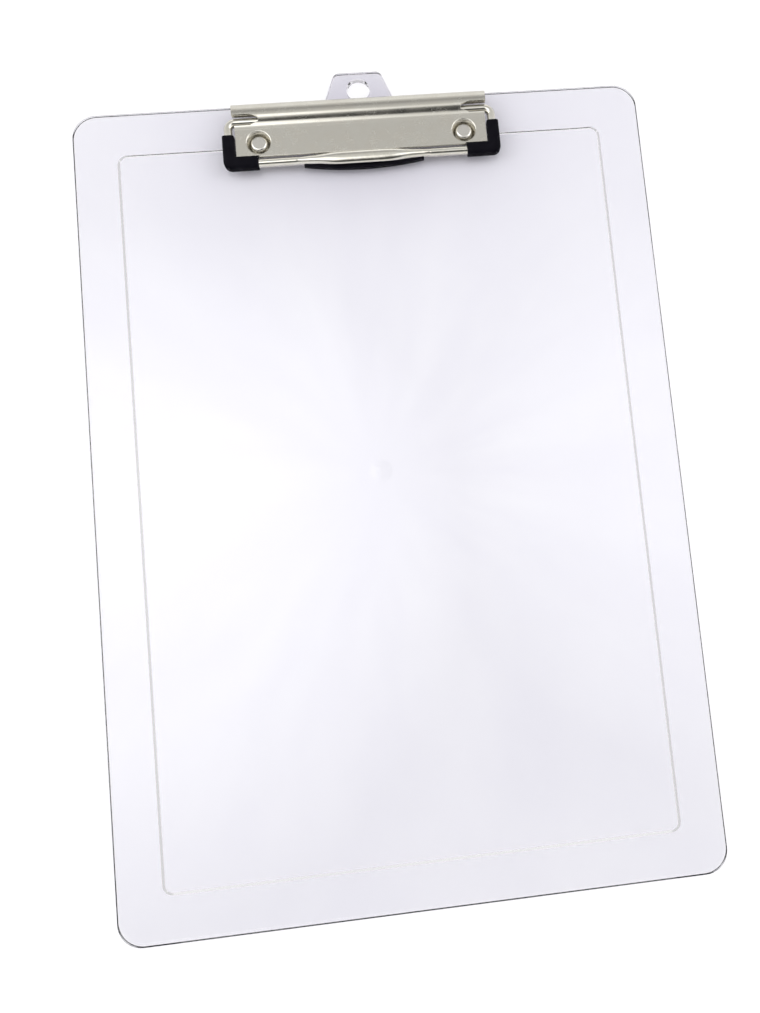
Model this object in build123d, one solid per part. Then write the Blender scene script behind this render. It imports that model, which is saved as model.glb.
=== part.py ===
from build123d import *
import math
import os

# Clear clipboard with a riveted, low nickel-plated clip: a pressed steel plate
# holds a sprung wire bail whose corners carry black rubber grips.
#
# Frame: the board lies on its back, front face up (+Z).  X runs across the
# board, +Y points to the clip end, and the origin is the middle of the bottom
# of the overall box (the tab included).  Everything is in millimetres.

# ---- board ---------------------------------------------------------------
board_width = 228.6
board_length = 317.5
board_thickness = 3.0
corner_radius = 9.5
edge_round = 0.5
panel_inset = 16.5
panel_radius = 4.0
panel_depth = 0.9
panel_wall_run = 1.2

# ---- hanging tab ---------------------------------------------------------
tab_base_width = 28.0
tab_top_width = 19.0
tab_height = 12.0
tab_round = 3.0
tab_root_round = 1.5
tab_foot = 2.0
hole_diameter = 9.4
hole_rise = 4.4

# ---- sheet metal clip plate ----------------------------------------------
sheet = 0.8
clip_width = 100.3
clip_setback = 1.0
roll_lift = 0.4
roll_above_wire = 1.5
deck_height = 3.5
slope_angle = 30.0
shoulder_radius = 3.0
heel_radius = 3.0
seam_angle = 25.0

# ---- wire bail -----------------------------------------------------------
wire_diameter = 3.4
bend_radius = 3.0
bar_reach = 17.4
bar_lift = 0.2
arm_set_run = 5.0
arm_set_radius = 6.0
leg_past_loop = 3.0
leg_end_break = 0.4
thumb_rise = 2.2
thumb_bow = 0.7
thumb_width = 5.2
thumb_thickness = 2.4
thumb_half_length = 27.0
thumb_flat_half = 9.0
thumb_sections = 14

# ---- rubber grips and thumb pad ------------------------------------------
grip_width = 4.8
grip_leg = 11.2
grip_corner_round = 3.0
grip_inner_round = 0.4
grip_edge_round = 1.3
pad_half_length = 24.0
pad_back = 0.4
pad_reach = 4.3
pad_tip_reach = 2.2
pad_height = 2.6
pad_edge_round = 0.5

# ---- rivets and washers --------------------------------------------------
rivet_from_side = 9.05
rivet_from_pivot = 9.3
rivet_shank = 4.0
rivet_head = 6.5
rivet_head_height = 2.0
rivet_head_round = 1.0
rivet_clinch = 5.8
rivet_clinch_height = 0.75
rivet_clinch_round = 0.35
rivet_tail_bore = 2.2
rivet_tail_depth = 1.6
washer_diameter = 8.5
washer_thickness = 0.5
washer_break = 0.12
seat_pocket_diameter = 10.4
seat_pocket_depth = 1.4
cup_floor_diameter = 6.7
cup_rim_diameter = 9.6
cup_rim_round = 0.55
cup_wall_share = 1.1

# ---- fits and clearances ---------------------------------------------------
running_fit = 0.05
shank_fit = 0.05
wire_pocket_gap = 0.4
wire_cover_gap = 0.3
wire_board_gap = 0.3
grip_board_gap = 0.3
grip_side_gap = 0.35
deck_bar_gap = 0.4
deck_grip_gap = 0.4
roll_side_gap = 0.35
loop_from_side = 11.65
loop_length = 8.5
loop_mouth_drop = 1.0
notch_from_side = 9.65
notch_taper = 3.5
notch_gap = 0.3
notch_tip_half = 0.8
notch_floor_rise = 0.6
bore_overrun = 0.5
cut_margin = 1.0

# ---- positions that follow from the sizes ----------------------------------
top_edge_y = (board_length - tab_height) / 2
board_middle_y = top_edge_y - board_length / 2
board_top_z = board_thickness
wire_radius = wire_diameter / 2
roll_diameter = wire_board_gap + wire_diameter + roll_above_wire - roll_lift
roll_radius = roll_diameter / 2
grip_half = grip_width / 2

roll_centre = clip_setback + roll_radius
roll_z = roll_lift + roll_radius
pivot_from_edge = clip_setback + roll_diameter + wire_pocket_gap + wire_radius
pivot_z = wire_board_gap + wire_radius
bar_from_edge = pivot_from_edge + bar_reach
bar_z = pivot_z + bar_lift
bar_rise = bar_z - pivot_z
grip_rise = grip_board_gap + grip_half - pivot_z
arm_x = clip_width / 2 + grip_side_gap + grip_half
roll_half_width = arm_x - wire_radius - roll_side_gap
deck_front = bar_from_edge - wire_radius - deck_bar_gap
deck_cutback = bar_from_edge - grip_half - deck_grip_gap
grip_inner_x = arm_x - grip_leg
cutback_x = grip_inner_x - deck_grip_gap
loop_outer = clip_width / 2 - loop_from_side
loop_inner = loop_outer - loop_length
leg_inner_end = loop_inner - leg_past_loop
notch_inner = clip_width / 2 - notch_from_side
notch_full = notch_inner + notch_taper
rivet_x = clip_width / 2 - rivet_from_side
rivet_y = top_edge_y - pivot_from_edge - rivet_from_pivot
shank_hole = rivet_shank + 2 * shank_fit


def edge_y(distance):
    """Y of a point this far in from the board's top edge."""
    return top_edge_y - distance


def tab_outline():
    """Trapezium of the hanging tab, its foot let into the board."""
    foot = top_edge_y - tab_foot
    flare = (tab_base_width - tab_top_width) / 2 / tab_height
    half_foot = tab_base_width / 2 + flare * tab_foot
    half_top = tab_top_width / 2
    tip = top_edge_y + tab_height
    outline = make_face(Polyline(
        (-half_foot, foot), (half_foot, foot),
        (half_top, tip), (-half_top, tip),
        close=True,
    ))
    tip_corners = outline.vertices().group_by(Axis.Y)[-1]
    return fillet(tip_corners, tab_round)


def board_outline():
    """Plan shape of the board and its tab, blended together."""
    slab = RectangleRounded(board_width, board_length, corner_radius)
    outline = Pos(0, board_middle_y) * slab + tab_outline()
    roots = [
        corner for corner in outline.vertices()
        if abs(corner.Y - top_edge_y) < 0.01 and abs(corner.X) < tab_base_width
    ]
    return fillet(roots, tab_root_round)


def panel_recess():
    """Shallow sloped-wall recess that thins the middle of the back."""
    mouth = RectangleRounded(
        board_width - 2 * panel_inset,
        board_length - 2 * panel_inset,
        panel_radius,
    )
    taper = math.degrees(math.atan2(panel_wall_run, panel_depth))
    return extrude(Pos(0, board_middle_y) * mouth, amount=panel_depth, taper=taper)


def upright(diameter, bottom, top, x, y):
    """Vertical cylinder between two heights."""
    shape = Cylinder(diameter / 2, top - bottom, align=(Align.CENTER, Align.CENTER, Align.MIN))
    return Pos(x, y, bottom) * shape


def build_board():
    """Moulded board with tab, hanging hole, back recess and rivet seats."""
    board = extrude(board_outline(), amount=board_thickness)
    rims = board.edges().filter_by(Plane.XY)
    board = fillet(rims, edge_round)
    board -= panel_recess()
    above = board_thickness + cut_margin
    board -= upright(hole_diameter, -cut_margin, above, 0, top_edge_y + hole_rise)
    for side in (-1, 1):
        x = side * rivet_x
        board -= upright(seat_pocket_diameter, -cut_margin, seat_pocket_depth, x, rivet_y)
        board -= upright(shank_hole, -cut_margin, above, x, rivet_y)
    return board


def sheet_path():
    """Middle line of the sheet from the deck's front edge to the roll's seam."""
    half = sheet / 2
    mid_roll = roll_radius - half
    deck_z = deck_height - half
    cover_z = roll_z + mid_roll
    angle = math.radians(slope_angle)
    clearance = wire_radius + wire_cover_gap + half
    over = (pivot_from_edge + clearance * math.sin(angle), pivot_z + clearance * math.cos(angle))
    heel = over[0] + (over[1] - deck_z) / math.tan(angle)
    shoulder = over[0] - (cover_z - over[1]) / math.tan(angle)
    run = FilletPolyline(
        (deck_front - half, deck_z), (heel, deck_z), (shoulder, cover_z), (roll_centre, cover_z),
        radius=(heel_radius, shoulder_radius),
    )
    seam = math.radians(seam_angle)
    curl = ThreePointArc(
        (roll_centre, cover_z),
        (roll_centre - mid_roll, roll_z),
        (roll_centre, roll_z - mid_roll),
    )
    tuck = ThreePointArc(
        (roll_centre, roll_z - mid_roll),
        (roll_centre + mid_roll * math.cos(-seam), roll_z + mid_roll * math.sin(-seam)),
        (roll_centre + mid_roll * math.cos(seam), roll_z + mid_roll * math.sin(seam)),
    )
    return Wire(run.edges() + curl.edges() + tuck.edges())


def folded_sheet():
    """The pressed section pulled across the width of the clip."""
    outline = sheet_path().offset_2d(sheet / 2, side=Side.BOTH)
    section = Plane(origin=(0, top_edge_y, board_top_z), x_dir=(0, -1, 0), z_dir=(-1, 0, 0))
    return extrude(section * Face(outline), amount=roll_half_width, both=True)


def bearing_loop(side):
    """Open hook of sheet formed round the bail's leg."""
    length = loop_length
    bore = wire_radius + running_fit
    hook = Cylinder(bore + sheet, length)
    across = 2 * (bore + sheet) + cut_margin
    below = Box(
        across, across, length + 2 * cut_margin,
        align=(Align.MIN, Align.CENTER, Align.CENTER),
    )
    hook -= Pos(loop_mouth_drop, 0, 0) * below
    middle = side * (loop_inner + loop_outer) / 2
    return Pos(middle, edge_y(pivot_from_edge), board_top_z + pivot_z) * Rot(0, 90, 0) * hook


def rivet_cup(x):
    """Drawn cup that lets the deck down to the board at a rivet."""
    hole = shank_hole / 2
    floor = cup_floor_diameter / 2
    rim = cup_rim_diameter / 2
    skirt = sheet * cup_wall_share
    profile = make_face(Polyline(
        (hole, 0), (floor + skirt, 0), (rim + skirt, deck_height - sheet),
        (rim + skirt, deck_height), (rim, deck_height), (floor, sheet), (hole, sheet),
        close=True,
    ))
    crest = [
        v for v in profile.vertices()
        if abs(v.X - rim) < 0.01 and abs(v.Y - deck_height) < 0.01
    ]
    profile = fillet(crest, cup_rim_round)
    cup = revolve(Plane.XZ * profile, Axis.Z)
    return Pos(x, rivet_y, board_top_z) * cup


def leg_notch(side):
    """Tapered opening at a plate end through which the leg shows."""
    rear = pivot_from_edge - wire_radius - notch_gap
    front = pivot_from_edge + wire_radius + notch_gap
    beyond = roll_half_width + cut_margin
    points = [
        (notch_inner, pivot_from_edge - notch_tip_half),
        (notch_full, rear), (beyond, rear), (beyond, front), (notch_full, front),
        (notch_inner, pivot_from_edge + notch_tip_half),
    ]
    plan = make_face(Polyline(*[(side * x, edge_y(s)) for x, s in points], close=True))
    floor_z = board_top_z + pivot_z + notch_floor_rise
    return extrude(Pos(0, 0, floor_z) * plan, amount=roll_lift + roll_diameter)


def side_trim():
    """Block that trims the deck narrower than the roll at its right side."""
    start = pivot_from_edge - wire_radius - notch_gap
    length = deck_front - start + cut_margin
    height = roll_lift + roll_diameter + cut_margin
    block = Box(
        roll_half_width - clip_width / 2 + cut_margin, length, height,
        align=(Align.MIN, Align.MAX, Align.MIN),
    )
    return Pos(clip_width / 2, edge_y(start), board_top_z) * block


def build_clip_plate():
    """Pressed plate: deck, cover over the legs, rear roll, cups and hooks."""
    plate = folded_sheet()
    deck_top = board_top_z + deck_height + cut_margin
    for side in (-1, 1):
        x = side * rivet_x
        plate -= upright(cup_rim_diameter + sheet, board_top_z, deck_top, x, rivet_y)
        plate += rivet_cup(x)
        plate += bearing_loop(side)
    bore = Rot(0, 90, 0) * Cylinder(wire_radius + running_fit, 2 * (loop_outer + bore_overrun))
    plate -= Pos(0, edge_y(pivot_from_edge), board_top_z + pivot_z) * bore
    for side in (-1, 1):
        plate -= leg_notch(side)
        width = roll_half_width - cutback_x + cut_margin
        depth = deck_front - deck_cutback + cut_margin
        height = deck_height + cut_margin
        corner = Box(width, depth, height, align=(Align.MIN, Align.MAX, Align.MIN))
        corner = Pos(cutback_x, edge_y(deck_cutback), board_top_z) * corner
        corner += side_trim()
        plate -= corner if side > 0 else mirror(corner, Plane.YZ)
    return plate


def bail_place():
    """Moves the bail from its pivot at the origin to its place in the clip."""
    return Pos(0, edge_y(pivot_from_edge), board_top_z + pivot_z)


def side_path():
    """Right leg, side arm and front bar up to the thumb rise, pivot at y = 0.

    The arm is set upwards in front of the pivot so the bar lies at the height
    of its grips.
    """
    return FilletPolyline(
        (leg_inner_end, 0, 0), (arm_x, 0, 0), (arm_x, -arm_set_run, bar_rise),
        (arm_x, -bar_reach, bar_rise), (thumb_half_length, -bar_reach, bar_rise),
        radius=(bend_radius, arm_set_radius, bend_radius),
    )


def ease(value):
    """Smooth step from 0 to 1."""
    value = max(0.0, min(1.0, value))
    return value * value * (3 - 2 * value)


def thumb_lift(x):
    """Share of the full rise reached at this x."""
    return ease((thumb_half_length - abs(x)) / (thumb_half_length - thumb_flat_half))


def thumb_bar():
    """Raised and flattened middle of the front bar."""
    sections = []
    for index in range(thumb_sections + 1):
        x = -thumb_half_length + 2 * thumb_half_length * index / thumb_sections
        share = thumb_lift(x)
        step = 0.01
        slope = (thumb_lift(x + step) - thumb_lift(x - step)) * thumb_rise / (2 * step)
        if index in (0, thumb_sections):
            slope = 0.0
        flattening = share * share
        wide = wire_radius + (thumb_width / 2 - wire_radius) * flattening
        thin = wire_radius + (thumb_thickness / 2 - wire_radius) * flattening
        station = Plane(
            origin=(x, -bar_reach - thumb_bow * share, bar_rise + thumb_rise * share),
            x_dir=(0, 1, 0),
            z_dir=(1, 0, slope),
        )
        sections.append(station * Ellipse(wide, thin))
    return loft(sections)


def build_wire_bail():
    """Bent wire: two legs, two arms and the front bar."""
    path = side_path()
    start = Plane(origin=path @ 0, z_dir=path % 0)
    arm = sweep(start * Circle(wire_radius), path=path)
    leg_tip = arm.edges().filter_by_position(Axis.Y, -wire_radius - 0.1, wire_radius + 0.1)
    leg_tip = leg_tip.filter_by_position(Axis.X, leg_inner_end - 0.1, leg_inner_end + 0.1)
    arm = chamfer(leg_tip, leg_end_break)
    return bail_place() * (arm + mirror(arm, Plane.YZ) + thumb_bar())


def near(shape_vertices, x, y):
    """Vertices that stand at this place in plan."""
    return [v for v in shape_vertices if abs(v.X - x) < 0.01 and abs(v.Y - y) < 0.01]


def build_grip(bail, side):
    """Moulded rubber cap over a corner of the bail, rounded outside, square inside."""
    outer = arm_x + grip_half
    inner = arm_x - grip_half
    front = -bar_reach - grip_half
    back = -bar_reach + grip_half
    side_end = grip_leg - bar_reach
    front_end = arm_x - grip_leg
    plan = make_face(Polyline(
        (outer, side_end), (outer, front), (front_end, front),
        (front_end, back), (inner, back), (inner, side_end),
        close=True,
    ))
    plan = fillet(near(plan.vertices(), outer, front), grip_corner_round)
    plan = fillet(near(plan.vertices(), inner, back), grip_inner_round)
    cap = Pos(0, 0, grip_rise) * extrude(plan, amount=grip_half, both=True)
    end_faces = cap.faces().filter_by(Axis.Y).sort_by(Axis.Y)[-1:]
    end_faces += cap.faces().filter_by(Axis.X).sort_by(Axis.X)[:1]
    end_edges = end_faces.edges()
    long_edges = [edge for edge in cap.edges().filter_by(Plane.XY) if edge not in end_edges]
    cap = fillet(long_edges, grip_edge_round)
    if side < 0:
        cap = mirror(cap, Plane.YZ)
    return bail_place() * cap - bail


def build_thumb_pad(bail):
    """Black rubber pad under the raised thumb part, its front edge bowed."""
    back = -bar_reach + pad_back
    tip = -bar_reach - pad_tip_reach
    front = -bar_reach - pad_reach
    base = grip_board_gap - pivot_z
    arc = ThreePointArc((pad_half_length, tip), (0, front), (-pad_half_length, tip))
    rim = Polyline((-pad_half_length, tip), (-pad_half_length, back),
                   (pad_half_length, back), (pad_half_length, tip))
    plan = make_face(Wire(arc.edges() + rim.edges()))
    pad = extrude(Pos(0, 0, base) * plan, amount=pad_height)
    top_edges = pad.edges().group_by(Axis.Z)[-1]
    pad = fillet(top_edges, pad_edge_round)
    return bail_place() * pad - bail


def build_rivet(side):
    """Semi-tubular rivet, its hollow tail clinched over the washer."""
    shank = rivet_shank / 2
    head = rivet_head / 2
    head_base = board_top_z + sheet
    head_top = head_base + rivet_head_height
    clinch_top = seat_pocket_depth - washer_thickness
    clinch_base = clinch_top - rivet_clinch_height
    clinch = rivet_clinch / 2
    bore = rivet_tail_bore / 2
    bore_top = clinch_base + rivet_tail_depth
    outline = make_face(Polyline(
        (0, head_top), (head, head_top), (head, head_base), (shank, head_base),
        (shank, clinch_top), (clinch, clinch_top), (clinch, clinch_base),
        (bore, clinch_base), (bore, bore_top), (0, bore_top),
        close=True,
    ))
    crown = [v for v in outline.vertices() if abs(v.X - head) < 0.01 and abs(v.Y - head_top) < 0.01]
    outline = fillet(crown, rivet_head_round)
    lip = [v for v in outline.vertices() if abs(v.X - clinch) < 0.01 or
           (abs(v.X - bore) < 0.01 and abs(v.Y - clinch_base) < 0.01)]
    outline = fillet(lip, rivet_clinch_round)
    return Pos(side * rivet_x, rivet_y, 0) * revolve(Plane.XZ * outline, Axis.Z)


def build_washer(side):
    """Flat washer that spreads the rivet's pull over the board."""
    base = seat_pocket_depth - washer_thickness
    washer = upright(washer_diameter, base, seat_pocket_depth, side * rivet_x, rivet_y)
    washer = chamfer(washer.edges(), washer_break)
    top = seat_pocket_depth + cut_margin
    return washer - upright(shank_hole, base - cut_margin, top, side * rivet_x, rivet_y)


def build_all():
    """Every separate piece, by name."""
    bail = build_wire_bail()
    return {
        "board": build_board(),
        "clip_plate": build_clip_plate(),
        "wire_bail": bail,
        "grip_left": build_grip(bail, -1),
        "grip_right": build_grip(bail, 1),
        "thumb_pad": build_thumb_pad(bail),
        "rivet_left": build_rivet(-1),
        "rivet_right": build_rivet(1),
        "washer_left": build_washer(-1),
        "washer_right": build_washer(1),
    }


os.makedirs("parts", exist_ok=True)
for name, shape in build_all().items():
    export_step(shape, f"parts/{name}.step")
    print(name, round(shape.volume, 2), "mm3")
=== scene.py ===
"""Looks of a clear clipboard with a hanging tab and a low riveted wire-bail clip.

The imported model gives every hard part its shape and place.  This script dresses
those parts, moulds the rubber corner caps and thumb pad, and sets the studio and
camera.
Everything is in metres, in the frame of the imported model.
"""

import logging
import math
from dataclasses import dataclass, field
from enum import Enum

import bmesh
import bpy
from mathutils import Matrix, Vector


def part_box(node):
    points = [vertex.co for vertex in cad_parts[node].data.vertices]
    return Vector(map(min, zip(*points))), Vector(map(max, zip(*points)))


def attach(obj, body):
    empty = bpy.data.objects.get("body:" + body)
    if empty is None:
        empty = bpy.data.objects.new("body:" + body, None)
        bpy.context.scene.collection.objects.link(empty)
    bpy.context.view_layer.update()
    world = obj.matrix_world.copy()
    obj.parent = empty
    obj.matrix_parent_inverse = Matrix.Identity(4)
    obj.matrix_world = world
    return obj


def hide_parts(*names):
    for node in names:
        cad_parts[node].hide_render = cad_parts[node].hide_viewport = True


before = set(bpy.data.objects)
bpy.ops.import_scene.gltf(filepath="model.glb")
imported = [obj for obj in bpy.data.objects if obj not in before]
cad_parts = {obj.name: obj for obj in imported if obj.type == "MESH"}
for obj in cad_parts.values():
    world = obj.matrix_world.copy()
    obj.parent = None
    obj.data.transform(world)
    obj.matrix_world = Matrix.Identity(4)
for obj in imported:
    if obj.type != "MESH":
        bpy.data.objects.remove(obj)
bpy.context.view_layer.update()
MM = 0.001
TOUCH = 1e-6  # corners this close in metres count as level

logging.basicConfig(level=logging.INFO, format="%(name)s: %(message)s")
log = logging.getLogger("clipboard")

Colour = tuple[float, float, float]


class Side(Enum):
    """The two ends of the clip, named as seen from in front of the board."""

    LEFT = -1
    RIGHT = 1

    @property
    def word(self) -> str:
        """Lower-case name that ends the names of this side's parts."""
        return self.name.lower()


class Grain(Enum):
    """Direction in which a metal's fine drawing or rolling lines run."""

    ALONG_X = (0.03, 1.0, 1.0)
    EVEN = (1.0, 1.0, 1.0)


# ---------------------------------------------------------------- node benches


class Bench:
    """Small helper that adds and wires nodes in one tree."""

    def __init__(self, tree: bpy.types.NodeTree) -> None:
        """Takes the tree that the nodes go into.

        Args:
            tree: A material's, world's or group's node tree.
        """
        self.tree = tree

    def add(self, kind: str, inputs: dict | None = None, **settings) -> bpy.types.Node:
        """Adds one node.

        Args:
            kind: The node's type name, without its "ShaderNode" start.
            inputs: Values or sockets for inputs, by name or index.
            **settings: Properties to set on the node itself.

        Returns:
            The new node.
        """
        node = self.tree.nodes.new("ShaderNode" + kind)
        for name, value in settings.items():
            setattr(node, name, value)
        for name, value in (inputs or {}).items():
            self.feed(node.inputs[name], value)
        return node

    def feed(self, socket: bpy.types.NodeSocket, value) -> None:
        """Links a socket to an input, or sets its plain value.

        Args:
            socket: The input to fill.
            value: An output socket, a number, or a colour or vector.
        """
        if isinstance(value, bpy.types.NodeSocket):
            self.tree.links.new(value, socket)
        elif isinstance(value, tuple) and len(value) == 3 and socket.type == "RGBA":
            socket.default_value = (*value, 1.0)
        else:
            socket.default_value = value

    def math(self, operation: str, first, second=0.0, clamp: bool = False) -> bpy.types.NodeSocket:
        """Adds a Math node.

        Args:
            operation: Blender's name of the operation.
            first: First value or socket.
            second: Second value or socket.
            clamp: Whether the result is kept between 0 and 1.

        Returns:
            The result's socket.
        """
        node = self.add("Math", {0: first, 1: second}, operation=operation, use_clamp=clamp)
        return node.outputs[0]

    def scaled(self, value, factor: float, base) -> bpy.types.NodeSocket:
        """Scales a value and adds it to a base.

        Args:
            value: Value or socket that is scaled.
            factor: What it is scaled by.
            base: Value or socket that it is added to.

        Returns:
            The result's socket.
        """
        return self.add("Math", {0: value, 1: factor, 2: base}, operation="MULTIPLY_ADD").outputs[0]

    def blend(self, share, first, second) -> bpy.types.NodeSocket:
        """Mixes two colours.

        Args:
            share: How much of the second colour shows.
            first: Colour or socket at share 0.
            second: Colour or socket at share 1.

        Returns:
            The mixed colour's socket.
        """
        node = self.add("Mix", data_type="RGBA", clamp_factor=True)
        self.feed(node.inputs["Factor"], share)
        self.feed(node.inputs[6], first)
        self.feed(node.inputs[7], second)
        return node.outputs[2]

    def ramp(self, value, stops: list[tuple[float, Colour]]) -> bpy.types.NodeSocket:
        """Adds a colour ramp.

        Args:
            value: The socket that is looked up.
            stops: Positions from 0 to 1 and their colours, in order.

        Returns:
            The colour's socket.
        """
        node = self.add("ValToRGB", {0: value})
        band = node.color_ramp
        while len(band.elements) < len(stops):
            band.elements.new(1.0)
        for element, (place, colour) in zip(band.elements, stops):
            element.position = place
            element.color = (*colour, 1.0)
        return node.outputs[0]

    def spread(self, value, low: float, high: float, to_low: float, to_high: float) -> bpy.types.NodeSocket:
        """Maps one range of values to another and clamps it.

        Args:
            value: The socket that is mapped.
            low: Start of the range that comes in.
            high: End of the range that comes in.
            to_low: What the start becomes.
            to_high: What the end becomes.

        Returns:
            The mapped value's socket.
        """
        settings = {1: low, 2: high, 3: to_low, 4: to_high}
        return self.add("MapRange", {0: value, **settings}).outputs[0]


def new_group(name: str, inputs: dict[str, float], outputs: dict[str, str]) -> tuple[Bench, dict, dict]:
    """Starts a node group with float inputs and the given outputs.

    Args:
        name: The group's name.
        inputs: Names of float inputs and their usual values.
        outputs: Names of outputs and their socket types.

    Returns:
        The bench, the group's input sockets by name, and its output sockets by name.
    """
    tree = bpy.data.node_groups.new(name, "ShaderNodeTree")
    for title, value in inputs.items():
        socket = tree.interface.new_socket(title, in_out="INPUT", socket_type="NodeSocketFloat")
        socket.default_value = value
    for title, kind in outputs.items():
        tree.interface.new_socket(title, in_out="OUTPUT", socket_type=kind)
    source = tree.nodes.new("NodeGroupInput")
    sink = tree.nodes.new("NodeGroupOutput")
    return Bench(tree), {s.name: s for s in source.outputs}, {s.name: s for s in sink.inputs}


class Effects:
    """Node groups that several finishes share, each built once."""

    def __init__(self) -> None:
        """Builds every group."""
        self.grain = self._grain()
        self.marks = self._marks()
        self.wear = self._wear()

    @staticmethod
    def _grain() -> bpy.types.NodeTree:
        """Fine drawn-metal or moulded grain, as a height and a soft mask.

        Returns:
            The finished group.
        """
        inputs = {"Scale": 900.0, "Run X": 1.0, "Run Y": 1.0, "Run Z": 1.0}
        outputs = {"Height": "NodeSocketFloat", "Cloud": "NodeSocketFloat"}
        bench, given, wanted = new_group("fine_grain", inputs, outputs)
        place = bench.add("TexCoord").outputs["Object"]
        run = bench.add("CombineXYZ", {0: given["Run X"], 1: given["Run Y"], 2: given["Run Z"]})
        drawn = bench.add("VectorMath", {0: place, 1: run.outputs[0]}, operation="MULTIPLY")
        fine = bench.add("TexNoise", {"Vector": drawn.outputs[0], "Scale": given["Scale"], "Detail": 4.0})
        wide = bench.math("MULTIPLY", given["Scale"], 0.07)
        cloud = bench.add("TexNoise", {"Vector": place, "Scale": wide, "Detail": 3.0})
        bench.feed(wanted["Height"], fine.outputs["Fac"])
        bench.feed(wanted["Cloud"], bench.spread(cloud.outputs["Fac"], 0.35, 0.65, 0.0, 1.0))
        return bench.tree

    @staticmethod
    def _marks() -> bpy.types.NodeTree:
        """Thin handling scratches in two directions, as a mask.

        Returns:
            The finished group.
        """
        inputs = {"Scale": 40.0, "Width": 0.02, "Share": 0.5}
        bench, given, wanted = new_group("handling_marks", inputs, {"Mask": "NodeSocketFloat"})
        place = bench.add("TexCoord").outputs["Object"]
        lines = []
        for turn, stretch in ((0.5, 9.0), (-0.9, 7.0)):
            aimed = bench.add("Mapping", {
                "Vector": place, "Rotation": (0.0, 0.0, turn), "Scale": (1.0, stretch, 1.0),
            })
            warp = bench.add("TexNoise", {"Vector": place, "Scale": 18.0, "Detail": 2.0})
            moved = bench.add(
                "VectorMath", {0: warp.outputs["Color"], 1: (0.02,) * 3, 2: aimed.outputs[0]},
                operation="MULTIPLY_ADD",
            )
            cells = bench.add(
                "TexVoronoi", {"Vector": moved.outputs[0], "Scale": given["Scale"]},
                feature="DISTANCE_TO_EDGE",
            )
            lines.append(bench.math("LESS_THAN", cells.outputs["Distance"], given["Width"]))
        both = bench.math("MAXIMUM", lines[0], lines[1])
        patch = bench.add("TexNoise", {"Vector": place, "Scale": given["Scale"], "Detail": 1.0})
        kept = bench.math("LESS_THAN", patch.outputs["Fac"], given["Share"])
        bench.feed(wanted["Mask"], bench.math("MULTIPLY", both, kept))
        return bench.tree

    @staticmethod
    def _wear() -> bpy.types.NodeTree:
        """Rubbed edges: a mask at convex edges and a softened normal there.

        Returns:
            The finished group.
        """
        outputs = {"Mask": "NodeSocketFloat", "Normal": "NodeSocketVector"}
        bench, given, wanted = new_group("edge_wear", {"Width": 0.0003, "Reach": 0.4}, outputs)
        soft = bench.add("Bevel", {"Radius": given["Width"]}, samples=6)
        flat = bench.add("NewGeometry").outputs["True Normal"]
        along = bench.add("VectorMath", {0: soft.outputs[0], 1: flat}, operation="DOT_PRODUCT")
        turned = bench.math("SUBTRACT", 1.0, along.outputs["Value"])
        bench.feed(wanted["Mask"], bench.math("DIVIDE", turned, given["Reach"], clamp=True))
        bench.feed(wanted["Normal"], soft.outputs[0])
        return bench.tree


# ----------------------------------------------------------------------- finishes


def start_material(name: str) -> tuple[bpy.types.Material, Bench, bpy.types.Node, bpy.types.Node]:
    """Makes an empty node material.

    Args:
        name: The finish's name.

    Returns:
        The material, its bench, its Principled shader and its output node.
    """
    material = bpy.data.materials.new(name)
    material.use_nodes = True
    tree = material.node_tree
    tree.nodes.clear()
    bench = Bench(tree)
    shader = bench.add("BsdfPrincipled")
    end = bench.add("OutputMaterial", {"Surface": shader.outputs[0]})
    return material, bench, shader, end


def place_group(bench: Bench, group: bpy.types.NodeTree, **values) -> bpy.types.Node:
    """Places a shared effect in a material with its own values.

    Args:
        bench: The material's bench.
        group: The effect's node group.
        **values: Values of its inputs, with _ for a space in their names.

    Returns:
        The group's node.
    """
    node = bench.add("Group", node_tree=group)
    for name, value in values.items():
        bench.feed(node.inputs[name.replace("_", " ")], value)
    return node


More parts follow.
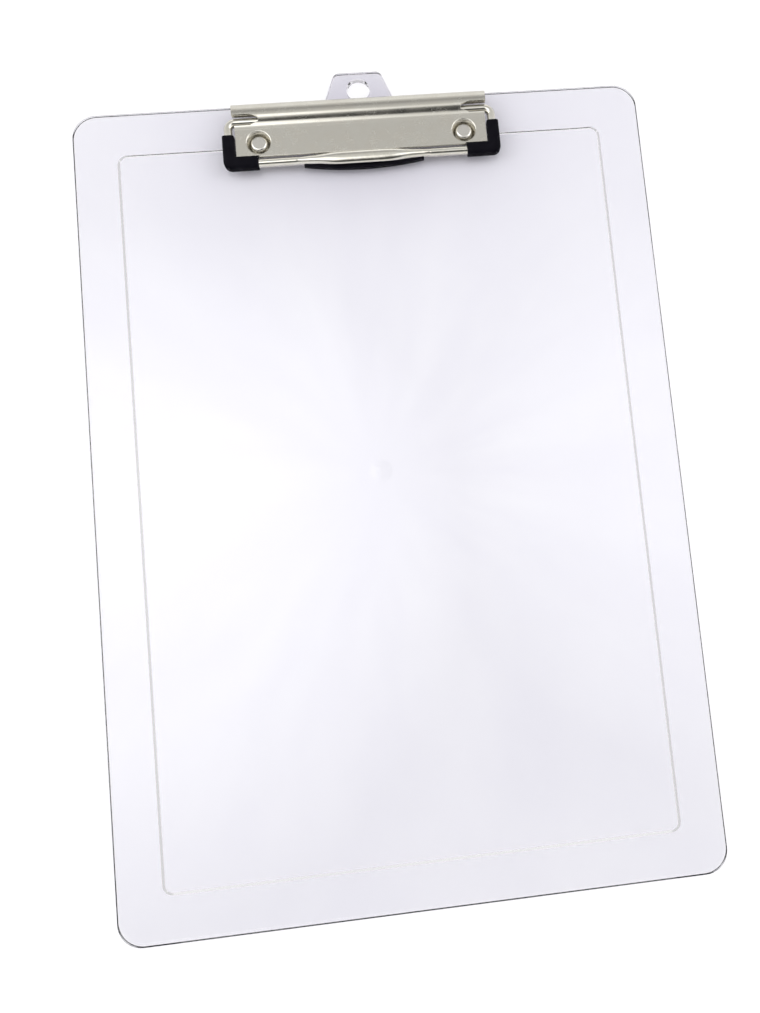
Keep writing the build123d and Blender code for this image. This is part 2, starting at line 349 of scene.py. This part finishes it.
@dataclass(frozen=True)
class NickelPlate:
    """Bright nickel over steel, with drawn grain, cloudy lustre and rubbed edges."""

    name: str
    tint: Colour = (0.60, 0.582, 0.527)
    warm_tint: Colour = (0.58, 0.556, 0.497)
    roughness: float = 0.16
    grain: Grain = Grain.ALONG_X
    grain_scale: float = 2600.0
    grain_depth: float = 0.000004
    edge_width: float = 0.00022
    leans: tuple[tuple[float, float], ...] = ()

    def material(self, effects: Effects) -> bpy.types.Material:
        """Builds the finish.

        Args:
            effects: The shared node groups.

        Returns:
            The material.
        """
        material, bench, shader, _ = start_material(self.name)
        run_x, run_y, run_z = self.grain.value
        grain = place_group(
            bench, effects.grain, Scale=self.grain_scale, Run_X=run_x, Run_Y=run_y, Run_Z=run_z
        )
        marks = place_group(bench, effects.marks, Scale=260.0, Width=0.015, Share=0.42)
        wear = place_group(bench, effects.wear, Width=self.edge_width, Reach=0.3)
        body = bench.blend(grain.outputs["Cloud"], self.tint, self.warm_tint)
        rubbed = tuple(min(1.0, part * 1.18) for part in self.tint)
        share = bench.math("MULTIPLY", wear.outputs["Mask"], 0.6)
        bench.feed(shader.inputs["Base Color"], bench.blend(share, body, rubbed))
        lustre = bench.spread(grain.outputs["Cloud"], 0.0, 1.0, self.roughness, self.roughness * 1.35)
        bench.feed(shader.inputs["Roughness"], bench.scaled(marks.outputs["Mask"], 0.12, lustre))
        shader.inputs["Metallic"].default_value = 1.0
        bump = bench.add(
            "Bump", {"Height": grain.outputs["Height"], "Distance": self.grain_depth, "Strength": 0.6}
        )
        bench.feed(bump.inputs["Normal"], self._formed(bench, wear.outputs["Normal"]))
        bench.feed(shader.inputs["Normal"], bump.outputs[0])
        return material

    def _formed(self, bench: Bench, normal: bpy.types.NodeSocket) -> bpy.types.NodeSocket:
        """Leans the surface as a press leaves it, by distance from the back of the clip.

        Args:
            bench: The material's bench.
            normal: The surface's own normal.

        Returns:
            The leaning normal, or the same one when the finish has no leans.
        """
        if not self.leans:
            return normal
        first, last = self.leans[0][0], self.leans[-1][0]
        place = bench.add("SeparateXYZ", {0: bench.add("TexCoord").outputs["Object"]})
        along = bench.spread(place.outputs[1], first, last, 0.0, 1.0)
        grey = [((y - first) / (last - first), (0.5 + lean,) * 3) for y, lean in self.leans]
        pushed = bench.math("SUBTRACT", bench.ramp(along, grey), 0.5)
        push = bench.add("CombineXYZ", {1: pushed})
        return bench.add("VectorMath", {0: normal, 1: push.outputs[0]}, operation="ADD").outputs[0]


@dataclass(frozen=True)
class ClearPlastic:
    """Clear moulded plastic with a cool cast, flow streaks from its gate, fine scratches, and the clip's
    shade painted into its colour round the clip.
    """

    name: str
    gate: tuple[float, float] = (-0.0045, 0.001)
    tint: Colour = (0.877, 0.870, 0.895)
    streak_tint: Colour = (0.91, 0.904, 0.918)
    roughness: float = 0.03
    refraction: float = 1.49
    lamp_tint: Colour = (0.95, 0.948, 0.975)
    # Centre, spread and colour of the shade painted into the plastic round the clip, standing in for the
    # clip's shadow.
    clip_end: tuple[float, float] = (0.0, 0.142)
    clip_spread: float = 0.6
    painted_clip_shade_tint: Colour = (0.65, 0.63, 0.69)

    def material(self, effects: Effects) -> bpy.types.Material:
        """Builds the finish.

        Args:
            effects: The shared node groups.

        Returns:
            The material.
        """
        material, bench, shader, end = start_material(self.name)
        streaks = self._streaks(bench)
        marks = place_group(bench, effects.marks, Scale=26.0, Width=0.004, Share=0.38)
        wear = place_group(bench, effects.wear, Width=0.0007, Reach=0.3)
        body = bench.blend(streaks, self.tint, self.streak_tint)
        # Painted shade: the colour darkens towards the clip, standing in for the clip's shadow.
        shade = self._near_clip(bench)
        bench.feed(shader.inputs["Base Color"], bench.blend(shade, body, self.painted_clip_shade_tint))
        rubbed = bench.math("MULTIPLY", wear.outputs["Mask"], 4.0)
        dulling = bench.math("ADD", marks.outputs["Mask"], rubbed)
        haze = bench.spread(streaks, 0.0, 1.0, self.roughness, self.roughness * 1.6)
        bench.feed(shader.inputs["Roughness"], bench.scaled(dulling, 0.10, haze))
        shader.inputs["IOR"].default_value = self.refraction
        shader.inputs["Transmission Weight"].default_value = 1.0
        bump = bench.add("Bump", {"Height": self._gate_mark(bench), "Distance": 0.0005, "Strength": 0.6})
        bench.feed(shader.inputs["Normal"], bump.outputs[0])
        self._let_lamps_through(bench, shader, end)
        return material

    def _near_clip(self, bench: Bench) -> bpy.types.NodeSocket:
        """Shade from the clip, painted into the plastic's colour as a darker cast round the clip.

        Args:
            bench: The material's bench.

        Returns:
            The painted shade's strength, 0 to 1.
        """
        place = bench.add("TexCoord").outputs["Object"]
        shifted = bench.add("Mapping", {
            "Vector": place, "Location": (-self.clip_end[0] * self.clip_spread, -self.clip_end[1], 0.0),
            "Scale": (self.clip_spread, 1.0, 0.0),
        })
        distance = bench.add("VectorMath", {0: shifted.outputs[0]}, operation="LENGTH").outputs["Value"]
        closeness = bench.spread(distance, 0.004, 0.075, 1.0, 0.0)
        return bench.math("MULTIPLY", closeness, closeness)

    def _from_gate(self, bench: Bench) -> tuple[bpy.types.NodeSocket, bpy.types.NodeSocket]:
        """Measures every point from the gate.

        Args:
            bench: The material's bench.

        Returns:
            The angle round the gate in radians, and the distance from it.
        """
        place = bench.add("TexCoord").outputs["Object"]
        shifted = bench.add("Mapping", {"Vector": place, "Location": (-self.gate[0], -self.gate[1], 0.0)})
        parts = bench.add("SeparateXYZ", {0: shifted.outputs[0]})
        angle = bench.math("ARCTAN2", parts.outputs[1], parts.outputs[0])
        flat = bench.add("CombineXYZ", {0: parts.outputs[0], 1: parts.outputs[1]})
        distance = bench.add("VectorMath", {0: flat.outputs[0]}, operation="LENGTH").outputs["Value"]
        return angle, distance

    def _streaks(self, bench: Bench) -> bpy.types.NodeSocket:
        """Faint fan of flow streaks that opens from the gate.

        Args:
            bench: The material's bench.

        Returns:
            The streaks' strength, 0 to 1.
        """
        angle, distance = self._from_gate(bench)
        x = bench.math("COSINE", angle)
        y = bench.math("SINE", angle)
        slow = bench.math("MULTIPLY", distance, 4.0)
        fan = bench.add("CombineXYZ", {0: x, 1: y, 2: slow})
        noise = bench.add(
            "TexNoise", {"Vector": fan.outputs[0], "Scale": 2.6, "Detail": 3.0, "Roughness": 0.55}
        )
        opened = bench.spread(distance, 0.004, 0.05, 0.0, 1.0)
        rays = bench.spread(noise.outputs["Fac"], 0.38, 0.66, 0.0, 1.0)
        return bench.math("MULTIPLY", rays, opened)

    def _gate_mark(self, bench: Bench) -> bpy.types.NodeSocket:
        """Small ragged scar where the mould's gate was broken off.

        Args:
            bench: The material's bench.

        Returns:
            The scar's height, 0 to 1.
        """
        _, distance = self._from_gate(bench)
        place = bench.add("TexCoord").outputs["Object"]
        rough = bench.add("TexNoise", {"Vector": place, "Scale": 420.0, "Detail": 4.0})
        inside = bench.spread(distance, 0.0005, 0.0045, 1.0, 0.0)
        return bench.math("MULTIPLY", inside, rough.outputs["Fac"])

    def _let_lamps_through(self, bench: Bench, shader: bpy.types.Node, end: bpy.types.Node) -> None:
        """Lets light from the lamps reach what lies under the plastic.

        Args:
            bench: The material's bench.
            shader: The plastic's own shader.
            end: The material's output node.
        """
        path = bench.add("LightPath")
        lamp = bench.math("MAXIMUM", path.outputs["Is Shadow Ray"], path.outputs["Is Diffuse Ray"])
        clear = bench.add("BsdfTransparent", {"Color": self.lamp_tint})
        either = bench.add("MixShader", {0: lamp, 1: shader.outputs[0], 2: clear.outputs[0]})
        bench.feed(end.inputs["Surface"], either.outputs[0])


@dataclass(frozen=True)
class CapRubber:
    """Black moulded rubber with a fine matt skin and slightly greyed, rubbed edges."""

    name: str
    tint: Colour = (0.0035, 0.003, 0.0055)
    dust_tint: Colour = (0.008, 0.0075, 0.011)
    roughness: float = 0.42

    def material(self, effects: Effects) -> bpy.types.Material:
        """Builds the finish.

        Args:
            effects: The shared node groups.

        Returns:
            The material.
        """
        material, bench, shader, _ = start_material(self.name)
        skin = place_group(bench, effects.grain, Scale=3800.0)
        wear = place_group(bench, effects.wear, Width=0.0005, Reach=0.5)
        dusty = bench.math("MULTIPLY", skin.outputs["Cloud"], 0.5)
        body = bench.blend(dusty, self.tint, self.dust_tint)
        share = bench.math("MULTIPLY", wear.outputs["Mask"], 0.5)
        bench.feed(shader.inputs["Base Color"], bench.blend(share, body, self.dust_tint))
        matt = bench.spread(skin.outputs["Height"], 0.3, 0.7, self.roughness, self.roughness + 0.14)
        bench.feed(shader.inputs["Roughness"], matt)
        shader.inputs["Specular IOR Level"].default_value = 0.04
        bump = bench.add("Bump", {"Height": skin.outputs["Height"], "Distance": 0.00003, "Strength": 0.5})
        bench.feed(shader.inputs["Normal"], bump.outputs[0])
        return material


@dataclass(frozen=True)
class StudioPaper:
    """Plain white paper that the board lies on."""

    name: str
    tint: Colour = (0.93, 0.93, 0.93)
    glow: float = 0.08

    def material(self) -> bpy.types.Material:
        """Builds the finish.

        Returns:
            The material.
        """
        material, bench, shader, _ = start_material(self.name)
        place = bench.add("TexCoord").outputs["Object"]
        fibre = bench.add("TexNoise", {"Vector": place, "Scale": 700.0, "Detail": 3.0})
        paler = tuple(part * 0.985 for part in self.tint)
        bench.feed(shader.inputs["Base Color"], bench.blend(fibre.outputs["Fac"], self.tint, paler))
        shader.inputs["Roughness"].default_value = 0.9
        shader.inputs["Specular IOR Level"].default_value = 0.1
        shader.inputs["Emission Color"].default_value = (1.0, 1.0, 1.0, 1.0)
        shader.inputs["Emission Strength"].default_value = self.glow
        return material


# --------------------------------------------------------------------- the object


def dress(names: list[str], material: bpy.types.Material) -> None:
    """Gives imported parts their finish.

    Args:
        names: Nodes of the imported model.
        material: The finish.
    """
    for name in names:
        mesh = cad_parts[name].data
        mesh.materials.clear()
        mesh.materials.append(material)


def finished_object(name: str, shape: bmesh.types.BMesh, material: bpy.types.Material) -> bpy.types.Object:
    """Turns a bmesh into a smooth-shaded object with one finish.

    Args:
        name: The new piece's name.
        shape: The bmesh, which is freed.
        material: The piece's finish.

    Returns:
        The object, linked to the scene.
    """
    bmesh.ops.recalc_face_normals(shape, faces=shape.faces[:])
    mesh = bpy.data.meshes.new(name)
    for face in shape.faces:
        face.smooth = True
    shape.to_mesh(mesh)
    shape.free()
    mesh.materials.append(material)
    piece = bpy.data.objects.new(name, mesh)
    bpy.context.scene.collection.objects.link(piece)
    return piece


@dataclass
class MouldedBoard:
    """The clear board with its hanging tab."""

    node: str = "board"
    finish: ClearPlastic = field(default_factory=lambda: ClearPlastic("clear_board"))

    def build(self, effects: Effects) -> list[str]:
        """Dresses the board.

        Args:
            effects: The shared node groups.

        Returns:
            Names of the parts that were finished.
        """
        dress([self.node], self.finish.material(effects))
        return [self.node]


@dataclass
class PressedClip:
    """The pressed plate, its rivets and their washers."""

    plate_finish: NickelPlate = field(
        default_factory=lambda: NickelPlate(
            "plated_sheet",
            leans=(
                (0.1412, 0.0), (0.1417, 0.20), (0.1422, 0.33), (0.1427, 0.33), (0.1434, 0.24),
                (0.1442, 0.0), (0.1447, -0.09), (0.1451, -0.18), (0.1459, -0.20),
                (0.1465, -0.07), (0.1470, 0.03), (0.1477, 0.12), (0.1482, 0.17), (0.1486, 0.24),
                (0.1493, 0.31), (0.1499, 0.28), (0.1506, 0.0),
            ),
        )
    )
    rivet_finish: NickelPlate = field(
        default_factory=lambda: NickelPlate(
            "plated_rivet", tint=(0.66, 0.64, 0.60), warm_tint=(0.63, 0.612, 0.565),
            roughness=0.14, grain=Grain.EVEN, grain_scale=3200.0,
        )
    )

    def build(self, effects: Effects) -> list[str]:
        """Dresses the plate, rivets and washers.

        Args:
            effects: The shared node groups.

        Returns:
            Names of the parts that were finished.
        """
        fixings = [f"{kind}_{side.word}" for kind in ("rivet", "washer") for side in Side]
        dress(["clip_plate"], self.plate_finish.material(effects))
        dress(fixings, self.rivet_finish.material(effects))
        return ["clip_plate", *fixings]


@dataclass
class WireBail:
    """The sprung wire bail."""

    node: str = "wire_bail"
    finish: NickelPlate = field(
        default_factory=lambda: NickelPlate(
            "plated_wire", tint=(0.74, 0.72, 0.66), warm_tint=(0.70, 0.675, 0.60),
            roughness=0.12, grain_scale=3000.0, edge_width=0.0001,
        )
    )

    def build(self, effects: Effects) -> list[str]:
        """Dresses the wire.

        Args:
            effects: The shared node groups.

        Returns:
            Names of the parts that were finished.
        """
        dress([self.node], self.finish.material(effects))
        return [self.node]


@dataclass
class RubberCap:
    """Moulded rubber cap over one corner of the bail."""

    side: Side
    finish: bpy.types.Material
    corner_round: float = 3.0 * MM
    edge_round: float = 1.3 * MM
    end_round: float = 0.25 * MM

    def build(self) -> bpy.types.Object:
        """Moulds the cap round the wire and rides it on the bail.

        Returns:
            The finished piece.
        """
        node = f"grip_{self.side.word}"
        low, high = (Vector(corner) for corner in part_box(node))
        shape = self._solid(low, high)
        piece = finished_object(f"rubber_cap_{self.side.word}", shape, self.finish)
        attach(piece, "bail")
        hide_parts(node)
        return piece

    def _solid(self, low: Vector, high: Vector) -> bmesh.types.BMesh:
        """Shapes the L of the cap from its box.

        Args:
            low: Lowest corner of the cap.
            high: Highest corner of the cap.

        Returns:
            The cap's bmesh.
        """
        width = high.z - low.z
        way = self.side.value
        outer = high.x if way > 0 else low.x
        inner_end = low.x if way > 0 else high.x
        shape = bmesh.new()
        bmesh.ops.create_cube(shape, size=1.0)
        size = Vector((width, high.y - low.y, width))
        middle = Vector((outer - way * width / 2, (low.y + high.y) / 2, (low.z + high.z) / 2))
        bmesh.ops.scale(shape, vec=size, verts=shape.verts)
        bmesh.ops.translate(shape, vec=middle, verts=shape.verts)
        cut = low.y + width
        bmesh.ops.bisect_plane(
            shape, geom=shape.verts[:] + shape.edges[:] + shape.faces[:],
            plane_co=(0, cut, 0), plane_no=(0, 1, 0),
        )
        shape.faces.ensure_lookup_table()
        foot = [
            f for f in shape.faces
            if f.normal.x * way < -0.9 and f.calc_center_median().y < cut
        ]
        grown = bmesh.ops.extrude_face_region(shape, geom=foot)
        moved = [v for v in grown["geom"] if isinstance(v, bmesh.types.BMVert)]
        bmesh.ops.delete(shape, geom=foot, context="FACES")
        reach = inner_end - (outer - way * width)
        bmesh.ops.translate(shape, vec=(reach, 0, 0), verts=moved)
        bmesh.ops.recalc_face_normals(shape, faces=shape.faces[:])
        self._round_corner(shape, outer, low.y)
        self._round_rims(shape, high.y, inner_end)
        return shape

    def _round_corner(self, shape: bmesh.types.BMesh, outer: float, front: float) -> None:
        """Rounds the cap's outer corner in plan.

        Args:
            shape: The cap's bmesh.
            outer: X of the cap's outer side.
            front: Y of the cap's front.
        """
        corner = [
            e for e in shape.edges
            if all(abs(v.co.x - outer) < TOUCH and abs(v.co.y - front) < TOUCH for v in e.verts)
        ]
        bmesh.ops.bevel(
            shape, geom=corner, offset=self.corner_round, segments=10, affect="EDGES",
            profile=0.5, material=-1, clamp_overlap=True,
        )

    def _round_rims(self, shape: bmesh.types.BMesh, rear: float, inner_end: float) -> None:
        """Rounds the long edges broadly and the two cut ends slightly.

        Args:
            shape: The cap's bmesh.
            rear: Y of the cap's rear end.
            inner_end: X of the cap's inner end.
        """
        def at_end(edge: bmesh.types.BMEdge) -> bool:
            """Whether the edge lies in one of the two end faces."""
            return all(abs(v.co.y - rear) < TOUCH for v in edge.verts) or all(
                abs(v.co.x - inner_end) < TOUCH for v in edge.verts
            )

        long_edges = [
            e for e in shape.edges
            if len(e.link_faces) == 2 and e.calc_face_angle() > 1.0
            and abs(e.verts[0].co.z - e.verts[1].co.z) < 1e-7 and not at_end(e)
        ]
        bmesh.ops.bevel(
            shape, geom=long_edges, offset=self.edge_round, segments=6, affect="EDGES",
            profile=0.5, material=-1, clamp_overlap=True,
        )
        end_edges = [
            e for e in shape.edges
            if at_end(e) and len(e.link_faces) == 2 and e.calc_face_angle() > 1.0
        ]
        bmesh.ops.bevel(
            shape, geom=end_edges, offset=self.end_round, segments=3, affect="EDGES",
            profile=0.5, material=-1, clamp_overlap=True,
        )


@dataclass
class ThumbPad:
    """Rubber pad under the raised thumb part of the bar, its front edge bowed."""

    finish: bpy.types.Material
    tip_setback: float = 2.1 * MM
    edge_round: float = 0.5 * MM
    divisions: int = 23

    def build(self) -> bpy.types.Object:
        """Moulds the pad and rides it on the bail.

        Returns:
            The finished piece.
        """
        low, high = (Vector(corner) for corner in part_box("thumb_pad"))
        shape = bmesh.new()
        bmesh.ops.create_cube(shape, size=1.0)
        bmesh.ops.scale(shape, vec=high - low, verts=shape.verts)
        bmesh.ops.translate(shape, vec=(low + high) / 2, verts=shape.verts)
        lengths = [e for e in shape.edges if abs(e.verts[0].co.x - e.verts[1].co.x) > self.edge_round]
        bmesh.ops.subdivide_edges(shape, edges=lengths, cuts=self.divisions, use_grid_fill=True)
        half = (high.x - low.x) / 2
        for vert in shape.verts:
            if abs(vert.co.y - low.y) < TOUCH:
                vert.co.y += self.tip_setback * ((vert.co.x - (low.x + high.x) / 2) / half) ** 2
        rims = [
            e for e in shape.edges
            if len(e.link_faces) == 2 and e.calc_face_angle() > 1.0
            and all(v.co.z > high.z - TOUCH for v in e.verts)
        ]
        bmesh.ops.bevel(
            shape, geom=rims, offset=self.edge_round, segments=4, affect="EDGES",
            profile=0.5, material=-1, clamp_overlap=True,
        )
        piece = finished_object("rubber_thumb_pad", shape, self.finish)
        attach(piece, "bail")
        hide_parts("thumb_pad")
        return piece


# --------------------------------------------------------------------- the studio


@dataclass
class Studio:
    """Plain white sweep, soft dome and two soft side lamps."""

    floor_span: float = 6.0
    floor_gap: float = 0.3 * MM
    dome_strength: float = 1.0
    side_glow: float = 0.78
    panels: tuple = (
        ((-0.30, 0.02, 0.954), 0.93, 1.9),
        ((0.40, 0.05, 0.915), 0.94, 1.2),
    )

    def build(self) -> list[str]:
        """Sets the floor, dome and lamps.

        Returns:
            Names of the stage objects.
        """
        floor = self._floor()
        self._dome()
        lamps = [self._lamp(side) for side in Side]
        return [floor.name, *(lamp.name for lamp in lamps)]

    def _floor(self) -> bpy.types.Object:
        """Lays the paper just under the board.

        Returns:
            The floor.
        """
        shape = bmesh.new()
        bmesh.ops.create_grid(shape, x_segments=8, y_segments=8, size=self.floor_span / 2)
        bmesh.ops.translate(shape, vec=(0, 0, -self.floor_gap), verts=shape.verts)
        floor = finished_object("floor", shape, StudioPaper("studio_paper").material())
        return floor

    def _dome(self) -> None:
        """Soft dome: bright behind the clip and at the sides, dim where the camera stands."""
        world = bpy.data.worlds.new("studio_dome")
        world.use_nodes = True
        world.node_tree.nodes.clear()
        bench = Bench(world.node_tree)
        outward = bench.add("TexCoord").outputs["Generated"]
        way = bench.add("SeparateXYZ", {0: outward})
        lean = bench.math("ARCTAN2", way.outputs[1], way.outputs[2])
        place = bench.spread(lean, -math.pi / 2, math.pi / 2, 0.0, 1.0)
        degrees = [
            (-90, 1.0), (-70, 1.05), (-56, 0.8), (-44, 0.22), (-34, 0.07), (-14, 0.09),
            (-6, 0.3), (2, 0.8), (10, 0.95), (18, 0.78), (28, 0.75), (36, 0.7), (46, 0.4),
            (56, 0.6), (66, 1.3), (90, 1.1),
        ]
        stops = [((angle + 90) / 180, (level, level, level * 0.995)) for angle, level in degrees]
        aside = bench.spread(bench.math("ABSOLUTE", way.outputs[0]), 0.28, 0.55, 0.0, 1.0)
        glow = bench.blend(aside, bench.ramp(place, stops), (self.side_glow,) * 3)
        for aim, reach, level in self.panels:
            near = bench.add("VectorMath", {0: outward, 1: aim}, operation="DOT_PRODUCT")
            share = bench.spread(near.outputs["Value"], reach, 1.0, 0.0, 1.0)
            lit = bench.add("VectorMath", {0: (level, level, level)}, operation="SCALE")
            bench.feed(lit.inputs["Scale"], share)
            glow = bench.add("VectorMath", {0: glow, 1: lit.outputs[0]}, operation="ADD").outputs[0]
        light = bench.add("Background", {"Color": glow, "Strength": self.dome_strength})
        bench.add("OutputWorld", {"Surface": light.outputs[0]})
        bpy.context.scene.world = world

    def _lamp(self, side: Side) -> bpy.types.Object:
        """Hangs one soft side lamp.

        Args:
            side: The side it stands on.

        Returns:
            The lamp.
        """
        data = bpy.data.lights.new(f"side_lamp_{side.word}", "AREA")
        data.shape = "RECTANGLE"
        data.size, data.size_y = 1.6, 1.2
        data.energy = 11.0
        lamp = bpy.data.objects.new(data.name, data)
        stand = Vector((side.value * 1.7, 0.25, 1.35))
        aim = (-stand).to_track_quat("-Z", "Y").to_matrix().to_4x4()
        lamp.matrix_world = Matrix.Translation(stand) @ aim
        bpy.context.scene.collection.objects.link(lamp)
        return lamp


@dataclass
class ViewCamera:
    """Camera above the board, leaning a little over its lower end."""

    place: Vector = field(default_factory=lambda: Vector((0.003357, -0.032918, 0.335527)))
    right: Vector = field(default_factory=lambda: Vector((0.992996, -0.098141, 0.065779)))
    up: Vector = field(default_factory=lambda: Vector((0.091152, 0.990605, 0.101945)))
    lens: float = 30.336
    shift: tuple[float, float] = (-0.08458, -0.03821)

    def build(self) -> bpy.types.Object:
        """Sets the camera and makes it the scene's own.

        Returns:
            The camera.
        """
        data = bpy.data.cameras.new("camera")
        data.lens = self.lens
        data.sensor_width = 36.0
        data.sensor_fit = "AUTO"
        data.shift_x, data.shift_y = self.shift
        data.clip_start = 0.01
        back = self.right.cross(self.up)
        turn = Matrix((self.right, self.up, back)).transposed()
        camera = bpy.data.objects.new("camera", data)
        camera.matrix_world = Matrix.Translation(self.place) @ turn.to_4x4()
        bpy.context.scene.collection.objects.link(camera)
        bpy.context.scene.camera = camera
        return camera


def main() -> None:
    """Builds and dresses every sub-assembly, then the studio."""
    ViewCamera().build()
    effects = Effects()
    for assembly in (MouldedBoard(), PressedClip(), WireBail()):
        for name in assembly.build(effects):
            log.info("dressed %s", name)
    rubber = CapRubber("black_rubber").material(effects)
    for mould in (RubberCap(Side.LEFT, rubber), RubberCap(Side.RIGHT, rubber), ThumbPad(rubber)):
        log.info("built %s", mould.build().name)
    for name in Studio().build():
        log.info("set %s", name)
    bpy.context.scene.view_settings.view_transform = "Standard"


if __name__ == "__main__":
    main()
